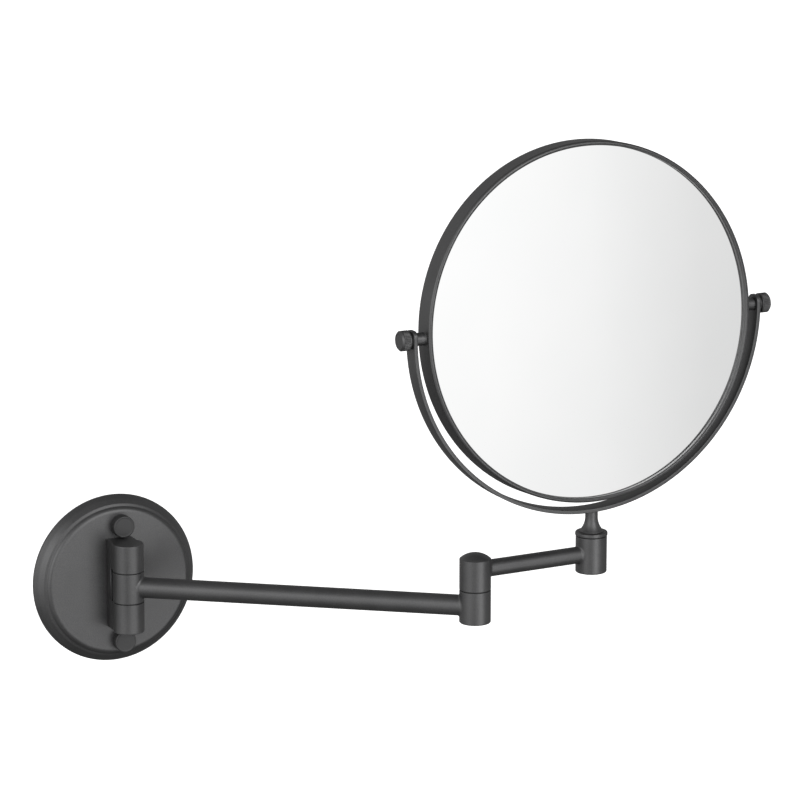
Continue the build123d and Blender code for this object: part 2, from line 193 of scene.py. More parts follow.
def graphiteCoat(name, mixture):
    # powder coat: a fine speckle over slow orange peel, with a cloudy sheen
    material, wire = bench(name)
    point = objectPoint(wire)
    speck = grain(wire, point, mixture["speck"], 3.0, 0.6)
    peel = grain(wire, point, mixture["orangePeel"], 1.0)
    cloud = grain(wire, point, mixture["cloud"], 3.0)
    shade = spread(wire, speck * 0.6 + cloud * 0.4, 0.0, 1.0)
    greys, blueness = (mixture["dark"], mixture["light"]), mixture["blueness"]
    dark, light = ((grey, grey, grey * blueness, 1) for grey in greys)
    height = speck * 0.35 + peel * 0.65
    bump = wire.node("ShaderNodeBump", inputs={"Strength": 0.26, "Distance": 0.00012, "Height": height})
    finishCoat(wire, {
        "Base Color": mixColour(wire, shade, dark, light),
        "Roughness": spread(wire, cloud * 0.5 + speck * 0.5, *mixture["roughness"]),
        "Normal": bump,
        "Metallic": mixture["metal"],
    })
    return material


def silveredGlass(name, haze):
    # silver seen through clear glass, with faint wiping haze
    material, wire = bench(name)
    point = objectPoint(wire)
    cloud = grain(wire, point, 60.0, 2.0)
    wipe = wire.node("ShaderNodeMapping", inputs={
        "Vector": point, "Scale": (1.0, 1.0, 7.0), "Rotation": (0, 0.5, 0),
    })
    dullSilver, brightSilver = (0.965, 0.97, 0.968, 1), (0.985, 0.987, 0.985, 1)
    streak = grain(wire, wipe, 30.0, 3.0)
    finishCoat(wire, {
        "Base Color": mixColour(wire, spread(wire, cloud, 0.0, 1.0), dullSilver, brightSilver),
        "Metallic": 1.0,
        "Roughness": spread(wire, streak, haze, haze * 1.8),
        "Coat Weight": 0.2,
        "Coat Roughness": 0.01,
    })
    return material


def platedSteel():
    # zinc plate: bright, with fine turning lines and a mottled sheen
    material, wire = bench("platedSteel")
    point = objectPoint(wire)
    cloud = grain(wire, point, 6.0, 4.0)
    stretched = wire.node("ShaderNodeMapping", inputs={"Vector": point, "Scale": (0.2, 0.2, 6.0)})
    lines = grain(wire, stretched, 1.2, 2.0)
    bump = wire.node("ShaderNodeBump", inputs={"Strength": 0.15, "Distance": 0.0001, "Height": lines})
    dullZinc, brightZinc = (0.43, 0.44, 0.46, 1), (0.62, 0.62, 0.61, 1)
    finishCoat(wire, {
        "Base Color": mixColour(wire, spread(wire, cloud, 0, 1), dullZinc, brightZinc),
        "Metallic": 1.0,
        "Roughness": spread(wire, cloud * 0.6 + lines * 0.4, 0.26, 0.42),
        "Normal": bump,
    })
    return material


def bearingBrass():
    # bored brass: warm, with tool rings and a little tarnish
    material, wire = bench("bearingBrass")
    point = objectPoint(wire)
    tarnish = grain(wire, point, 4.0, 4.0)
    stretched = wire.node("ShaderNodeMapping", inputs={"Vector": point, "Scale": (0.1, 0.1, 8.0)})
    rings = grain(wire, stretched, 1.0, 2.0)
    dullBrass, brightBrass = (0.50, 0.33, 0.12, 1), (0.72, 0.52, 0.22, 1)
    bump = wire.node("ShaderNodeBump", inputs={"Strength": 0.2, "Distance": 0.0001, "Height": rings})
    finishCoat(wire, {
        "Base Color": mixColour(wire, spread(wire, tarnish, 0, 1), dullBrass, brightBrass),
        "Metallic": 1.0,
        "Roughness": spread(wire, tarnish, 0.24, 0.4),
        "Normal": bump,
    })
    return material


def mouldedPlastic(name, dark, light, roughness):
    # spark-eroded mould texture over a slow flow mottle
    material, wire = bench(name)
    point = objectPoint(wire)
    spark = grain(wire, point, 0.25, 2.0)
    flow = grain(wire, point, 8.0, 2.0)
    bump = wire.node("ShaderNodeBump", inputs={"Strength": 0.2, "Distance": 0.0001, "Height": spark})
    finishCoat(wire, {
        "Base Color": mixColour(wire, spread(wire, flow * 0.6 + spark * 0.4, 0, 1), (*dark, 1), (*light, 1)),
        "Roughness": spread(wire, spark * 0.5 + flow * 0.5, roughness - 0.06, roughness + 0.08),
        "Normal": bump,
    })
    return material


coat = graphiteCoat("graphiteCoat", graphite)
nutCoat = graphiteCoat("nutCoat", turnedGraphite)
plainSilver = silveredGlass("plainSilver", 0.012)
magnifierSilver = silveredGlass("magnifierSilver", 0.015)
steel = platedSteel()
brass = bearingBrass()
nylon = mouldedPlastic("blackNylon", (0.012, 0.012, 0.012), (0.022, 0.022, 0.022), 0.5)
spacerPlastic = mouldedPlastic("spacerPlastic", (0.17, 0.17, 0.17), (0.24, 0.24, 0.24), 0.55)
print("finishes mixed")


# surfaces

def rounded(corners, closed=False, steps=7):
    # an outline of (x, y, radius): each corner becomes an arc tangent to both its sides,
    # with a point just outside either end so that flat sides stay flat when shaded smooth
    corners = [tuple(corner) + (0,) * (3 - len(corner)) for corner in corners]
    places = np.array([corner[:2] for corner in corners], float)
    outline = []
    for index, corner in enumerate(corners):
        here, radius = places[index], corner[2]
        atEnd = not closed and index in (0, len(corners) - 1)
        if atEnd or not radius:
            outline.append(here[None])
            continue
        back = unit(places[index - 1] - here)
        onward = unit(places[(index + 1) % len(corners)] - here)
        half = math.acos(np.clip(back @ onward, -1, 1)) / 2
        cut = radius / math.tan(half)
        centre = here + unit(back + onward) * radius / math.sin(half)
        first = here + back * cut - centre
        last = here + onward * cut - centre
        start = math.atan2(first[1], first[0])
        turn = (math.atan2(last[1], last[0]) - start + math.pi) % fullTurn - math.pi
        angles = start + turn * np.linspace(0, 1, steps + 1)
        arc = centre + radius * np.stack([np.cos(angles), np.sin(angles)], 1)
        outline += [(here + back * cut * 1.2)[None], arc, (here + onward * cut * 1.2)[None]]
    return np.concatenate(outline)


def capArc(rim, rise, steps=24):
    # (radius, height) from the rim to the middle of a ball cap that rises by rise
    ball = (rim ** 2 + rise ** 2) / (2 * rise)
    radii = rim * np.cos(np.linspace(0, math.pi / 2, steps))
    return np.stack([radii, rise - ball + np.sqrt(ball ** 2 - radii ** 2)], 1)


def threePointArc(first, middle, last, steps):
    # points of the circle through three given ones, from the first to the last
    first, middle, last = (np.array(point, float) for point in (first, middle, last))
    square = [point @ point for point in (first, middle, last)]
    sides = np.array([middle - first, last - first]) * 2
    centre = np.linalg.solve(sides, [square[1] - square[0], square[2] - square[0]])
    start, end = (math.atan2(*(point - centre)[::-1]) for point in (first, last))
    turn = (end - start + math.pi) % fullTurn - math.pi
    angles = start + turn * np.linspace(0, 1, steps)
    return centre + np.linalg.norm(first - centre) * np.stack([np.cos(angles), np.sin(angles)], 1)


def turned(profile, place, around=160, depthOfWave=None):
    # profile point (r, h) at angle a goes to (r cos a, r sin a, h); depthOfWave(a, h) is taken off r
    angles = np.linspace(0, fullTurn, around, endpoint=False)
    radius = np.repeat(profile[:, :1], around, 1)
    height = np.repeat(profile[:, 1:], around, 1)
    if depthOfWave:
        radius = radius - depthOfWave(angles[None, :], height)
    return toRow(np.stack([radius * np.cos(angles), radius * np.sin(angles), height], 2), place)


def gridFaces(rows, columns, closedRows):
    # four corners of each cell; columns always close on themselves, rows only on a ring
    row = np.arange(rows if closedRows else rows - 1)[:, None]
    column = np.arange(columns)[None, :]
    nextRow, nextColumn = (row + 1) % rows, (column + 1) % columns
    corners = [row * columns + column, row * columns + nextColumn,
               nextRow * columns + nextColumn, nextRow * columns + column]
    return np.stack(corners, 2).reshape(-1, 4)


def makePiece(name, grid, material, body, slot, *replaced, closedRows=False):
    # grid of points in millimetres becomes a closed skin: equal points are joined, faces turned outwards
    mesh = bpy.data.meshes.new(name)
    mesh.from_pydata((grid.reshape(-1, 3) * mm).tolist(), [], gridFaces(*grid.shape[:2], closedRows).tolist())
    skin = bmesh.new()
    skin.from_mesh(mesh)
    bmesh.ops.remove_doubles(skin, verts=skin.verts, dist=2e-7)
    bmesh.ops.dissolve_degenerate(skin, edges=skin.edges, dist=1e-8)
    bmesh.ops.recalc_face_normals(skin, faces=skin.faces)
    if skin.calc_volume(signed=True) < 0:
        bmesh.ops.reverse_faces(skin, faces=skin.faces)
    openEdges = sum(not edge.is_manifold for edge in skin.edges)
    skin.to_mesh(mesh)
    skin.free()
    mesh.shade_smooth()
    mesh.materials.append(material)
    piece = bpy.data.objects.new(name, mesh)
    bpy.context.scene.collection.objects.link(piece)
    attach(piece, body)
    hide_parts(*replaced)
    print(f"  {name}: {len(mesh.polygons)} faces", f"OPEN {openEdges}" if openEdges else "")


# wall plate

rosetteShape = {
    "wall": 1.8, "foot": 1.6, "ridge": 45.35, "ridgeDepth": 7.1, "groove": 43.8, "grooveDepth": 7.9,
    "shoulder": 2.6, "slope": 1.2, "bulge": 0.4, "flankBulge": 0.3,
    "faceRound": 3.0, "grooveRound": 0.8, "ridgeRound": 0.9, "flankRound": 8.0, "footRound": 0.8,
    "wallEdge": 0.3,
}


def makeRosette():
    # turned outline: face that bulges like a shallow ball cap, rounded shoulder, a narrow sloping band,
    # nearly straight flank, foot, and a plainer outline inside
    high = reach("rosette", wallFrame)[1]
    outer, depth = high[0], high[2]
    shape = rosetteShape
    wall, ridge, groove = shape["wall"], shape["ridge"], shape["groove"]
    foot, ridgeDepth, edge = shape["foot"], shape["ridgeDepth"], shape["wallEdge"]
    face = depth - shape["bulge"]
    faceRadius = groove - shape["shoulder"]
    flank = ((outer + ridge) / 2 + shape["flankBulge"], (foot + ridgeDepth) / 2)
    bulge = capArc(faceRadius - 1.5, shape["bulge"], 30)[::-1] + [0, face]
    outline = rounded([
        *bulge, (groove - shape["slope"], face, shape["faceRound"]),
        (groove, shape["grooveDepth"], shape["grooveRound"]), (ridge, ridgeDepth, shape["ridgeRound"]),
        (*flank, shape["flankRound"]), (outer, foot, shape["footRound"]), (outer, 0, edge),
        (outer - wall, 0, edge), (outer - wall, foot, 1.5),
        (ridge - wall, face - wall, 1.0), (0, face - wall),
    ])
    makePiece("rosetteShell", turned(outline, wallFrame, 256), coat, "wall_mount", "graphite_coat", "rosette")
    return face


capNutShape = {"rim": 0.55, "dish": 0.12, "dishRadius": 5.2, "roof": 1.2, "boreRadius": 2.5}


def makeCapNuts(face):
    # a disc with a rounded rim, a very shallow turned dish and a blind bore behind
    points = nodePoints("cap_nuts")
    for name, side in (("Upper", 1), ("Lower", -1)):
        own = points[points[:, 2] * side > 0]
        low, high = own.min(0), own.max(0)
        centre = (low + high) / 2
        radius, top = (high[0] - low[0]) / 2, -low[1]
        dish, dishRadius = capNutShape["dish"], capNutShape["dishRadius"]
        bore, roof = capNutShape["boreRadius"], capNutShape["roof"]
        outline = rounded([
            (0, top - dish), (dishRadius, top - dish, 0.6), (dishRadius + 0.35, top, 0.3),
            (radius, top, capNutShape["rim"]), (radius, face, 0.15),
            (bore, face), (bore, top - roof), (0, top - roof),
        ])
        place = frameAt((centre[0], 0, centre[2]), (1, 0, 0), (0, -1, 0))
        grid = turned(outline, place, 128)
        makePiece(f"capNut{name}", grid, nutCoat, "wall_mount", "graphite_coat", "cap_nuts")


castingShape = {"halfBlock": 7.7, "cove": 0.9, "rim": 0.5, "seamRim": 0.22, "webGap": 0.6, "webCircle": 9.35,
                "webFloor": 7.4, "webFade": 0.6, "pinBore": 6.1, "pinSink": 2.8, "shoulder": 0.62,
                "seamGap": 0.05, "clear": 1.5, "topShare": 0.97}


def castingRing(radius, back, inset, wholeRim=True):
    # outline from above: round barrel with a straight-sided block behind it, pulled in by inset
    half, cove = castingShape["halfBlock"], castingShape["cove"]
    join = math.asin(math.sqrt(1 - (half / radius) ** 2))
    angles = np.linspace(math.pi - join, fullTurn + join, 81)
    arc = [(radius * math.cos(angle), radius * math.sin(angle)) for angle in angles]
    shoulder = back * castingShape["shoulder"]
    corners = [
        (-half, back), (-half, shoulder), (*arc[0], cove), *arc[1:-1], (*arc[-1], cove),
        (half, shoulder), (half, back),
    ]
    ring = rounded(corners, closed=True, steps=4)
    tangent = np.roll(ring, -1, 0) - np.roll(ring, 1, 0)
    outward = np.stack([tangent[:, 1], -tangent[:, 0]], 1)
    outward /= np.linalg.norm(outward, axis=1)[:, None]
    web = radius + castingShape["webGap"]
    share = 1.0 if wholeRim else np.clip((web - ring[:, 1:]) / castingShape["webFade"], 0, 1)
    return ring - outward * inset * share


def level(ring, height):
    return np.column_stack([ring, np.full(len(ring), height)])


def makeHingeCasting(face):
    # rings stacked on Z: bore, underside, lower knuckle, web, upper knuckle, top
    shape = castingShape
    low, high = reach("hinge_bracket", plateHingeFrame)
    radius, back = high[0], -hingeAt[1] - face  # back: from the hinge axis to the plate's face
    washer, seamGap = reach("hinge_washers", plateHingeFrame), shape["seamGap"]
    lowerSeam, upperSeam = washer[0][2] - seamGap, washer[1][2] + seamGap
    # plain rings keep this far from the rounded edges, so that the sides between them stay flat
    clearRim, clearSeam = shape["clear"] * shape["rim"], shape["clear"] * shape["seamRim"]
    ring = castingRing(radius, back, 0)
    bearing = np.arctan2(ring[:, 1], ring[:, 0])
    bore = shape["pinBore"] * np.column_stack([np.cos(bearing), np.sin(bearing)])
    # the web keeps behind the swinging knuckle: y = sqrt(c^2 - x^2), and no lower than its floor
    webX = np.clip(ring[:, 0], -shape["halfBlock"], shape["halfBlock"])
    webY = np.sqrt(np.maximum(shape["webCircle"] ** 2 - webX ** 2, shape["webFloor"] ** 2))
    webRing = np.column_stack([webX, np.maximum(ring[:, 1], webY)])
    quarter = np.linspace(0, math.pi / 2, 6)

    def rim(height, size, direction, whole):
        # rounded edge: rings that pull in as they near the end face
        rings = []
        for angle in quarter:
            pulledIn = castingRing(radius, back, size * (1 - math.cos(angle)), whole)
            rings.append(level(pulledIn, height - direction * size * (1 - math.sin(angle))))
        return rings

    sink = low[2] + shape["pinSink"]
    rows = [np.zeros_like(level(ring, 0)) + [0, 0, sink], level(bore, sink), level(bore, low[2])]
    rows += rim(low[2], shape["rim"], -1, True)[::-1]
    rows += [level(ring, low[2] + clearRim), level(ring, lowerSeam - clearSeam)]
    rows += rim(lowerSeam, shape["seamRim"], 1, False)
    rows += [level(webRing, lowerSeam), level(webRing, upperSeam)]
    rows += rim(upperSeam, shape["seamRim"], -1, False)[::-1]
    rows += [level(ring, upperSeam + clearSeam), level(ring, high[2] - clearRim)]
    rows += rim(high[2], shape["rim"], 1, True)
    inner = rows[-1] * [shape["topShare"], shape["topShare"], 1]
    rows += [inner, inner * [0, 0, 1]]
    grid = toRow(np.stack(rows), plateHingeFrame)
    makePiece("hingeCasting", grid, coat, "wall_mount", "graphite_coat", "hinge_bracket")


plateFace = makeRosette()
makeCapNuts(plateFace)
makeHingeCasting(plateFace)
print("wall plate done")


# barrels

barrelShape = {"rim": 0.3, "boreRim": 0.25, "lowRim": 0.7, "endTopRim": 0.5,
               "elbowPocket": 6.2, "endPocket": 7.0}
domeShape = {"rise": 3.5, "edge": 0.35, "pinRadius": 4.0}
plugShape = {"dish": 0.15, "step": 0.7, "slope": 1.6}


def sleeve(low, high, outer, inner, topRim, lowRim):
    # closed ring outline of a tube section with rounded outer rims
    return rounded([
        (inner, low), (outer, low, lowRim), (outer, high, topRim), (inner, high),
    ], closed=True)


def boredBarrel(name, node, place, body, bushNode, bore=None,
                topRim=barrelShape["rim"], lowRim=barrelShape["rim"]):
    # barrel round its bush; a wider pocket of radius bore is sunk into the underside
    low, high = reach(node, place)
    bush = reach(bushNode, place)
    outer, inner = (high[0] - low[0]) / 2, (bush[1][0] - bush[0][0]) / 2
    if bore:
        outline = rounded([
            (inner, bush[0][2]), (bore, bush[0][2]), (bore, low[2], barrelShape["boreRim"]),
            (outer, low[2], lowRim), (outer, high[2], topRim), (inner, high[2]),
        ], closed=True)
    else:
        outline = sleeve(low[2], high[2], outer, inner, topRim, lowRim)
    makePiece(name, turned(outline, place), coat, body, "graphite_coat", node, closedRows=True)


def makeElbowTop():
    # barrel with a shallow dome, bored from below for its pin
    low, high = reach("elbow_upper_barrel", elbowFrame)
    pinTop = reach("elbow_pin", elbowFrame)[1][2]
    outer, pinRadius = (high[0] - low[0]) / 2, domeShape["pinRadius"]
    rise = domeShape["rise"]
    dome = capArc(outer, rise) + [0, high[2] - rise]
    outline = rounded([
        (0, pinTop), (pinRadius, pinTop), (pinRadius, low[2]),
        (outer, low[2], barrelShape["rim"]), (*dome[0], domeShape["edge"]), *dome[2:],
    ])
    grid = turned(outline, elbowFrame)
    makePiece("elbowUpperBarrel", grid, coat, "short_arm", "graphite_coat", "elbow_upper_barrel")


def makeEndPlug():
    # pressed disc with a rounded rim and a faint dish
    low, high = reach("barrel_end_cap", endFrame)
    outer, dished = (high[0] - low[0]) / 2, low[2] + plugShape["dish"]
    outline = rounded([
        (0, dished), (outer - plugShape["slope"], dished, 1.2), (outer - plugShape["step"], low[2], 0.5),
        (outer, low[2], 0.3), (outer, high[2]), (0, high[2]),
    ])
    makePiece("endPlug", turned(outline, endFrame, 128), coat, "short_arm", "graphite_coat", "barrel_end_cap")


boredBarrel("hingeKnuckle", "middle_knuckle", hingeFrame, "main_arm", "hinge_bush")
boredBarrel("elbowLowerBarrel", "elbow_lower_barrel", elbowFrame, "main_arm", "elbow_bush",
            barrelShape["elbowPocket"], lowRim=barrelShape["lowRim"])
makeElbowTop()
boredBarrel("endBarrel", "end_barrel", endFrame, "short_arm", "swivel_bush",
            barrelShape["endPocket"], barrelShape["endTopRim"], barrelShape["lowRim"])
makeEndPlug()
print("barrels done")


# arm tubes

tubeShape = {"flare": 1.1, "sink": 0.06, "around": 96, "rings": 7, "capDepth": 2}


def makeTube(name, node, place, length, barrelRadius, body):
    # Round tube along x. Each end sits on an upright barrel: where the tube has radius q at angle a, the
    # barrel's skin is at x = sqrt(R^2 - (q cos a)^2); a small quarter-round flare blends the two.
    low, high = reach(node, place)
    radius, height = (high[1] - low[1]) / 2, (high[2] + low[2]) / 2
    angles = np.linspace(0, fullTurn, tubeShape["around"], endpoint=False)
    quarter = np.linspace(0, math.pi / 2, 9)
    flare = tubeShape["flare"]
    away = np.concatenate([flare * (1 - np.cos(quarter)), [flare * 1.4]])
    size = np.concatenate([radius + flare * (1 - np.sin(quarter)), [radius]])
    saddle = np.sqrt(barrelRadius ** 2 - (size[:, None] * np.cos(angles)) ** 2) - tubeShape["sink"]
    start = saddle + away[:, None]
    rings, flat = tubeShape["rings"], np.zeros_like(angles)[None]
    middle = np.linspace(0.2, 0.8, rings)[:, None] * length + flat
    capPlace = barrelRadius - tubeShape["capDepth"]
    farCap, farEnd = flat + length - capPlace, (length - start)[::-1]
    alongTube = np.concatenate([flat + capPlace, start, middle, farEnd, farCap])
    size = np.concatenate([[0], size, np.full(rings, radius), size[::-1], [0]])[:, None]
    grid = np.stack([alongTube, size * np.cos(angles), size * np.sin(angles) + height], 2)
    makePiece(name, toRow(grid, place), coat, body, "graphite_coat", node)


barrelRadius = reach("middle_knuckle", hingeFrame)[1][1]
makeTube("longTube", "main_tube", hingeFrame, armLength, barrelRadius, "main_arm")
makeTube("shortTube", "short_tube", elbowFrame, shortArmLength, barrelRadius, "short_arm")
print("arms done")


# swivel and stem

collarShape = {"topRim": 0.9, "lowRim": 0.25, "bore": 4.0}
stemShape = {"baseRadius": 7.0, "baseRise": 0.25, "baseEdge": 0.2, "flare": 8.6, "waist": 0.44,
             "waistShare": 0.29, "neckRadius": 3.65, "spindle": 4.0, "intoStrap": 0.35, "tipRise": 0.25}


def makeCollar():
    low, high = reach("swivel_collar", swivelFrame)
    outer, shape = (high[0] - low[0]) / 2, collarShape
    outline = sleeve(low[2], high[2], outer, shape["bore"], shape["topRim"], shape["lowRim"])
    makePiece("swivelCollar", turned(outline, swivelFrame), coat, "head", "graphite_coat", "swivel_collar",
              closedRows=True)
    return high[2]


def makeStem(collarTop):
    # Spindle, then a trumpet: an arc through base, waist and neck, and a neck that ends just inside the strap.
    low, shape = reach("head_stem", swivelFrame)[0], stemShape
    base, neck, spindle = shape["baseRadius"], shape["neckRadius"], shape["spindle"]
    baseTop, flareTop = collarTop + shape["baseRise"], collarTop + shape["flare"]
    waistRadius = neck + shape["waistShare"] * (base - neck)
    waist = (waistRadius, collarTop + shape["waist"] * shape["flare"])
    trumpet = threePointArc((base, baseTop), waist, (neck, flareTop), 22)
    strapLow = reach("yoke", yokeFrame)[0][2] + pivotAt[2]
    neckTop = strapLow + shape["intoStrap"]
    outline = np.concatenate([
        rounded([(0, low[2]), (spindle, low[2], 0.3), (spindle, collarTop)]),
        rounded([(spindle, collarTop), (base, collarTop, shape["baseEdge"]), (base, baseTop)]),
        trumpet, [(neck, strapLow - 0.3), (neck, neckTop), (0, neckTop + shape["tipRise"])],
    ])
    makePiece("flaredStem", turned(outline, swivelFrame, 128), coat, "head", "graphite_coat", "head_stem")


makeStem(makeCollar())
print("stem done")


# yoke

yokeShape = {"lift": 0.4, "earRound": 3.8, "edge": 0.4, "arcSteps": 120, "thickness": 2.3}


def makeYoke():
    # A rounded bar section carried down one ear, round the half circle and up the other ear.
    # fromTip is the distance to the nearer tip: the width follows the ear's round, the thickness its edge.
    low, high = reach("yoke", yokeFrame)
    halfWidth, halfThick = high[1], yokeShape["thickness"] / 2
    middleRadius = (high[0] - low[0]) / 2 - halfThick
    earTop, earRound, edge = high[2], yokeShape["earRound"], yokeShape["edge"]
    centre = yokeShape["lift"]
    tip = earRound * (1 - np.cos(np.linspace(0, math.pi / 2, 16)))
    earDown = np.concatenate([tip, np.linspace(tip[-1] + 0.6, earTop - centre - 0.3, 4)])
    swing = math.pi + math.pi * np.linspace(0, 1, yokeShape["arcSteps"])
    path = np.concatenate([
        np.stack([np.full(len(earDown), -middleRadius), earTop - earDown], 1),
        np.stack([middleRadius * np.cos(swing), centre + middleRadius * np.sin(swing)], 1),
        np.stack([np.full(len(earDown), middleRadius), earTop - earDown[::-1]], 1),
    ])
    outward = np.concatenate([
        np.tile([-1.0, 0.0], (len(earDown), 1)),
        np.stack([np.cos(swing), np.sin(swing)], 1),
        np.tile([1.0, 0.0], (len(earDown), 1)),
    ])
    fromTip = np.full(len(path), 2 * earRound)
    fromTip[:len(earDown)] = earDown
    fromTip[-len(earDown):] = earDown[::-1]
    inRound = np.clip(fromTip, 0, earRound)
    width = halfWidth - earRound + np.sqrt(earRound ** 2 - (earRound - inRound) ** 2)
    inEdge = np.clip(fromTip, 0, edge)
    thick = halfThick - edge + np.sqrt(edge ** 2 - (edge - inEdge) ** 2)
    corner = np.minimum(edge, np.minimum(width, thick))
    steps = 6
    bend = np.arange(4)[:, None] * math.pi / 2 + np.linspace(0, math.pi / 2, steps)
    signX, signY = (np.repeat(np.sign(turn(bend.mean(1))), steps) for turn in (np.cos, np.sin))
    bend = bend.reshape(-1)
    across = signX * (thick - corner)[:, None] + corner[:, None] * np.cos(bend)
    along = signY * (width - corner)[:, None] + corner[:, None] * np.sin(bend)
    x = path[:, :1] + outward[:, :1] * across
    z = path[:, 1:] + outward[:, 1:] * across
    grid = np.stack([x, along, z], 2)
    ends = [np.broadcast_to(row.mean(0), row.shape)[None] for row in (grid[0], grid[-1])]
    grid = np.concatenate([ends[0], grid, ends[1]])
    # The bar was laid out about x = 0: it is carried to half way between the strap's two sides.
    middle = (low[0] + high[0]) / 2
    makePiece("yokeStrap", toRow(grid + [middle, 0, 0], yokeFrame), coat, "head", "graphite_coat", "yoke")


makeYoke()
print("yoke done")


# mirror head

ringShape = {"frontRound": 1.5, "backRound": 0.5, "wall": 1.6, "lip": 100.35, "lipRound": 0.9,
             "lipDepth": 2.95, "bezelGap": 0.02}
glassShape = {"sag": 3.5}


def makeMirrorFrame():
    # L-shaped ring: thin band with a rounded front lip that holds the glass; then the bezel that closes it
    high = reach("frame_ring", mirrorFrame)[1]
    outer, half, shape = high[0], high[2], ringShape
    bore = outer - shape["wall"]
    seat = half - shape["lipDepth"]
    outline = rounded([
        (bore, -half), (outer, -half, shape["backRound"]), (outer, half, shape["frontRound"]),
        (shape["lip"], half, shape["lipRound"]), (shape["lip"], seat), (bore, seat),
    ], closed=True)
    makePiece("mirrorFrame", turned(outline, mirrorFrame, 320), coat, "mirror", "graphite_coat", "frame_ring",
              closedRows=True)
    bezelOuter = bore - shape["bezelGap"]
    bezel = rounded([
        (shape["lip"], -seat), (bezelOuter, -seat), (bezelOuter, -half, 0.15),
        (shape["lip"], -half, shape["lipRound"]),
    ], closed=True)
    makePiece("rearBezel", turned(bezel, mirrorFrame, 320), coat, "mirror", "graphite_coat", "rear_bezel",
              closedRows=True)


def makeGlasses():
    # a flat disc with a ground edge, and a dished one whose rear face sinks by sag towards its middle
    low, high = reach("front_mirror", mirrorFrame)
    radius = high[0]
    flat = rounded([(0, low[2]), (radius, low[2], 0.3), (radius, high[2], 0.3), (0, high[2])])
    makePiece("plainGlass", turned(flat, mirrorFrame, 320), plainSilver, "mirror", "mirror_glass",
              "front_mirror")
    low, high = reach("magnifying_mirror", mirrorFrame)
    rise = glassShape["sag"]
    arc = capArc(radius, rise, 48)
    dished = np.concatenate([arc[::-1] + [0, low[2]], arc + [0, high[2] - rise]])
    makePiece("magnifyingGlass", turned(dished, mirrorFrame, 320), magnifierSilver, "mirror", "mirror_glass",
              "magnifying_mirror")


makeMirrorFrame()
makeGlasses()
print("mirror done")


# pivots

bossShape = {"flare": 0.5, "sink": 0.05, "endRim": 0.2, "bore": 2.1, "root": 0.8}
washerShape = {"innerThick": 0.55, "thick": 0.85, "step": 0.45, "smaller": 0.75, "rim": 0.18, "bore": 2.05}
knobShape = {"head": 5.6, "neck": 0.5, "neckRadius": 4.2, "chamfer": 0.9, "screwRadius": 2.0, "lines": 40,
             "lineDepth": 0.28, "lineStart": 0.35, "lineEnd": 0.1, "fade": 0.4, "faceDish": 0.25}


def makeBoss(side, place, ringRadius):
    # stub that stands on the ring's band; its foot follows the band, h = sqrt(R^2 - (q sin a)^2)
    high = reach("pivot_bosses", place)[1]
    radius, top = high[0], high[2]
    angles = np.linspace(0, fullTurn, 72, endpoint=False)
    quarter = np.linspace(0, math.pi / 2, 7)
    flare = bossShape["flare"]
    size = radius + flare * (1 - np.sin(quarter))
    foot = np.sqrt(ringRadius ** 2 - (size[:, None] * np.sin(angles)) ** 2) - bossShape["sink"]
    heights = foot + flare * (1 - np.cos(quarter))[:, None]
    bore = bossShape["bore"]
    rim = rounded([(radius, top - 1.5), (radius, top, bossShape["endRim"]), (bore, top)])
    size = np.concatenate([[bore], size, rim[:, 0], [bore]])[:, None]
    root = np.zeros((1, len(angles))) + ringRadius - bossShape["root"]
    heights = np.concatenate([root, heights, rim[:, 1:] + np.zeros_like(angles), root])
    grid = np.stack([size * np.cos(angles), size * np.sin(angles), heights], 2)
    makePiece(f"pivotBoss{side}", toRow(grid, place), coat, "mirror", "graphite_coat", "pivot_bosses")


def makeWashers(side, place):
    # a plain washer inside the ear, and a stepped one outside it
    high = reach("inner_pivot_washers", place)[1]
    bore, rim = washerShape["bore"], washerShape["rim"]
    plain = sleeve(high[2] - washerShape["innerThick"], high[2], high[0], bore, rim, rim)
    makePiece(f"innerWasher{side}", turned(plain, place, 96), nylon, "mirror", "black_nylon",
              "inner_pivot_washers", closedRows=True)
    high = reach("outer_pivot_washers", place)[1]
    outer, bottom, top = high[0], high[2] - washerShape["thick"], high[2]
    step, smaller = bottom + washerShape["step"], outer - washerShape["smaller"]
    stepped = rounded([
        (bore, bottom), (outer, bottom, rim), (outer, step, rim),
        (smaller, step), (smaller, top, rim), (bore, top),
    ], closed=True)
    makePiece(f"steppedWasher{side}", turned(stepped, place, 96), nylon, "head", "black_nylon",
              "outer_pivot_washers", closedRows=True)


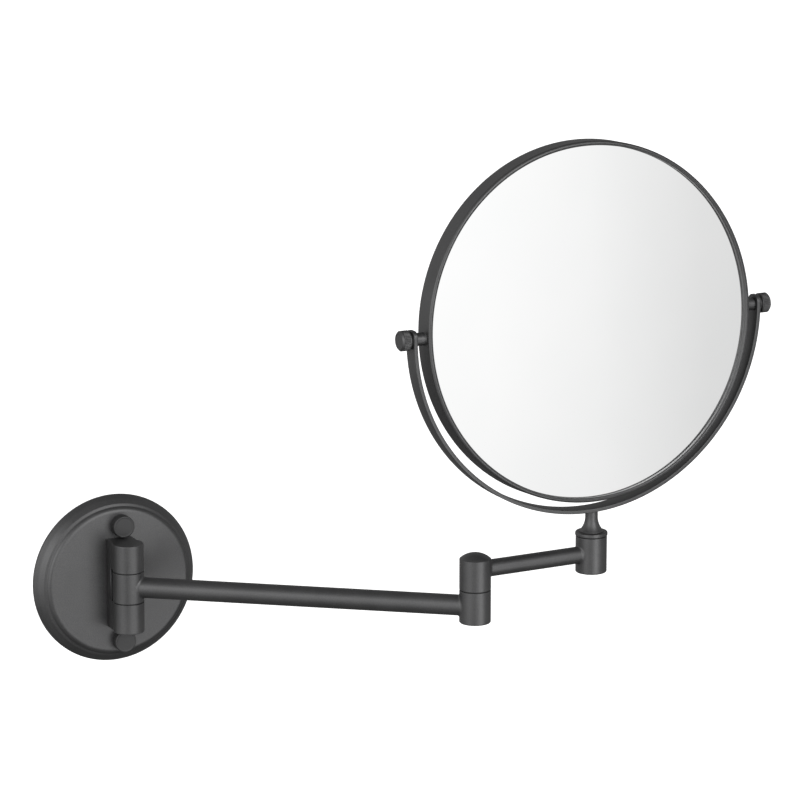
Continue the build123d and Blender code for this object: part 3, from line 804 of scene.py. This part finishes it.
def makeKnob(side, place):
    # turned head with fine straight knurling; the lines run along it and fade out at both ends
    node, shape = f"knob_{side.lower()}", knobShape
    low, high = reach(node, place)
    radius, end = high[0], high[2]
    headStart = end - shape["head"]
    neckStart = headStart - shape["neck"]
    screw, neck, chamfer = shape["screwRadius"], shape["neckRadius"], shape["chamfer"]
    chamferRadius, dished = radius - chamfer, end - shape["faceDish"]
    start, finish = headStart + shape["lineStart"], end - chamfer - shape["lineEnd"]
    bodyLow, bodyHigh = headStart + 0.3, end - chamfer - 0.05
    body = [(radius, height) for height in np.linspace(bodyLow, bodyHigh, 26)]
    outline = np.concatenate([
        [(0, low[2]), (screw, low[2]), (screw, neckStart)],
        rounded([(screw, neckStart), (neck, neckStart, 0.15), (neck, headStart)]),
        rounded([(neck, headStart), (radius, headStart, 0.25), (radius, bodyLow)]),
        body,
        rounded([(radius, bodyHigh), (radius, end - chamfer, 0.04), (chamferRadius, end, 0.3),
                 (chamferRadius - 0.5, end, 0.15), (chamferRadius - 0.9, dished, 0.3), (0, dished)]),
    ])

    def knurl(angle, height):
        # triangle wave round the head times a flat-topped window along it
        wave = np.abs(2 * ((angle * shape["lines"] / fullTurn) % 1) - 1)
        fade = shape["fade"]
        window = np.clip((height - start) / fade, 0, 1) * np.clip((finish - height) / fade, 0, 1)
        return shape["lineDepth"] * wave * window

    grid = turned(outline, place, shape["lines"] * 8, knurl)
    makePiece(f"knurledKnob{side}", grid, coat, f"{side.lower()}_knob", "graphite_coat", node)


ringRadius = reach("frame_ring", mirrorFrame)[1][0]
for side, place in sideFrames.items():
    makeBoss(side, place, ringRadius)
    makeWashers(side, place)
    makeKnob(side, place)
print("pivots done")


# carried-over pieces

keptFinish = {
    "wall_bracket": steel, "bracket_studs": steel, "bracket_screws": steel,
    "hinge_pin": steel, "elbow_pin": steel, "elbow_spring_washer": steel,
    "wave_washer": steel, "retaining_washer": steel, "retaining_screw": steel,
    "hinge_bush": brass, "elbow_bush": brass, "swivel_bush": brass,
    "hinge_washers": nylon, "elbow_washer": nylon, "swivel_washer": nylon, "glass_spacer": spacerPlastic,
}
for node, material in keptFinish.items():
    mesh = frame["nodes"][node].data
    mesh.materials.clear()
    mesh.materials.append(material)
print("inner pieces finished")


# studio

cameraShape = {"azimuth": -25.086, "elevation": 13.258, "lens": 198.73, "place": (-0.89548, -2.3052, 0.68658)}
floorShape = {"height": -1.2, "half": 40.0}
softboxes = {
    "leftSoftbox": {"azimuth": -66, "elevation": 18, "away": 2.6, "size": (0.8, 1.1), "watts": 4},
    "rightSoftbox": {"azimuth": 14, "elevation": 26, "away": 1.3, "size": (0.5, 0.6), "watts": 1.8},
    "nearSoftbox": {"azimuth": 14, "elevation": -20, "away": 0.45, "size": (0.15, 0.2), "watts": 0.13},
}
lampTarget = np.array([0.2, -0.08, 0.04])
worldShape = {
    "bright": 1.9, "dim": 0.12,
    "compass": [
        (-180, 0.12), (-150, 0.2), (-112, 0.24), (-90, 0.44), (-74, 0.7), (-56, 0.7), (-40, 0.34),
        (-25, 0.22), (-12, 0.5), (0, 0.9), (18, 0.9), (27, 0.523), (28.4, 0.521), (29.1, 0.497),
        (29.8, 0.459), (30.75, 0.392), (31.4, 0.354), (38, 0.3), (60, 0.12), (150, 0.05), (180, 0.12),
    ],
    "climb": [
        (-90, 0.0), (-40, 0.08), (-15, 0.7), (-4, 0.9), (12, 1.0), (28, 1.0),
        (45, 0.4), (62, 0.1), (90, 0.05),
    ],
}


def outFrom(azimuth, elevation):
    # direction out of the object: azimuth 0 is straight off the wall, and positive is to the right
    a, e = math.radians(azimuth), math.radians(elevation)
    return np.array([math.sin(a) * math.cos(e), -math.cos(a) * math.cos(e), math.sin(e)])


def aim(thing, place, backward):
    # place a camera or lamp so that it looks along -backward with its top up
    x = unit(np.cross(up, backward))
    axes = np.stack([x, np.cross(backward, x), backward], 1)
    matrix = np.eye(4)
    matrix[:3, :3], matrix[:3, 3] = axes, place
    thing.matrix_world = Matrix(matrix)


def makeCamera():
    data = bpy.data.cameras.new("camera")
    data.lens, data.sensor_width = cameraShape["lens"], 36
    data.clip_start, data.clip_end = 0.1, 200
    camera = bpy.data.objects.new("camera", data)
    bpy.context.scene.collection.objects.link(camera)
    aim(camera, cameraShape["place"], outFrom(cameraShape["azimuth"], cameraShape["elevation"]))
    bpy.context.scene.camera = camera


def makeSoftboxes():
    for name, box in softboxes.items():
        data = bpy.data.lights.new(name, "AREA")
        data.shape = "RECTANGLE"
        data.size, data.size_y = box["size"]
        data.energy = box["watts"]
        lamp = bpy.data.objects.new(name, data)
        lamp.visible_camera = False
        bpy.context.scene.collection.objects.link(lamp)
        backward = outFrom(box["azimuth"], box["elevation"])
        aim(lamp, lampTarget + backward * box["away"], backward)


def makeFloor():
    # pale floor, left out of scattered light and of reflections so that it throws none up under the arms
    half, height = floorShape["half"], floorShape["height"]
    mesh = bpy.data.meshes.new("paleFloor")
    corners = [(x * half, y * half, height) for x, y in ((-1, -1), (1, -1), (1, 1), (-1, 1))]
    mesh.from_pydata(corners, [], [(0, 1, 2, 3)])
    floor = bpy.data.objects.new("paleFloor", mesh)
    material, wire = bench("paleFloor")
    finishCoat(wire, {"Base Color": (0.8, 0.8, 0.8, 1), "Roughness": 0.9, "Emission Color": (1, 1, 1, 1),
                      "Emission Strength": 1.0})
    mesh.materials.append(material)
    bpy.context.scene.collection.objects.link(floor)
    floor.visible_diffuse = False
    floor.visible_glossy = False


def makeWorld():
    # White to the camera. For light and reflections: a dim room with two tall bright walls in front, one left
    # and one right, as brightness round the compass times brightness up the wall.
    world = bpy.data.worlds.new("studio")
    bpy.context.scene.world = world
    world.use_nodes = True
    world.node_tree.nodes.clear()
    wire = Wire(world.node_tree)
    direction = wire.node("ShaderNodeTexCoord", out=0)
    split = [wire.node("ShaderNodeSeparateXYZ", inputs={"Vector": direction}, out=axis) for axis in range(3)]
    compass = wire.maths("ARCTAN2", split[0], 0 - split[1]) * (1 / fullTurn) + 0.5
    climb = wire.maths("ARCSINE", split[2], 0) * (1 / math.pi) + 0.5
    roundStops = [((bearing + 180) / 360, shade) for bearing, shade in worldShape["compass"]]
    climbStops = [((tilt + 90) / 180, shade) for tilt, shade in worldShape["climb"]]
    around = wire.node("ShaderNodeValToRGB", {"stops": roundStops}, {"Fac": compass})
    height = wire.node("ShaderNodeValToRGB", {"stops": climbStops}, {"Fac": climb})
    shade = around * height * worldShape["bright"] + worldShape["dim"]
    lit = wire.node("ShaderNodeBackground", inputs={"Color": shade, "Strength": 1.0})
    seen = wire.node("ShaderNodeBackground", inputs={"Color": (1, 1, 1, 1), "Strength": 1.0})
    cameraRay = wire.node("ShaderNodeLightPath", out=0)
    both = wire.node("ShaderNodeMixShader", inputs={0: cameraRay, 1: lit, 2: seen})
    wire.node("ShaderNodeOutputWorld", inputs={"Surface": both})


makeCamera()
makeSoftboxes()
makeFloor()
makeWorld()
bpy.context.scene.view_settings.view_transform = "Standard"
print("studio lit")
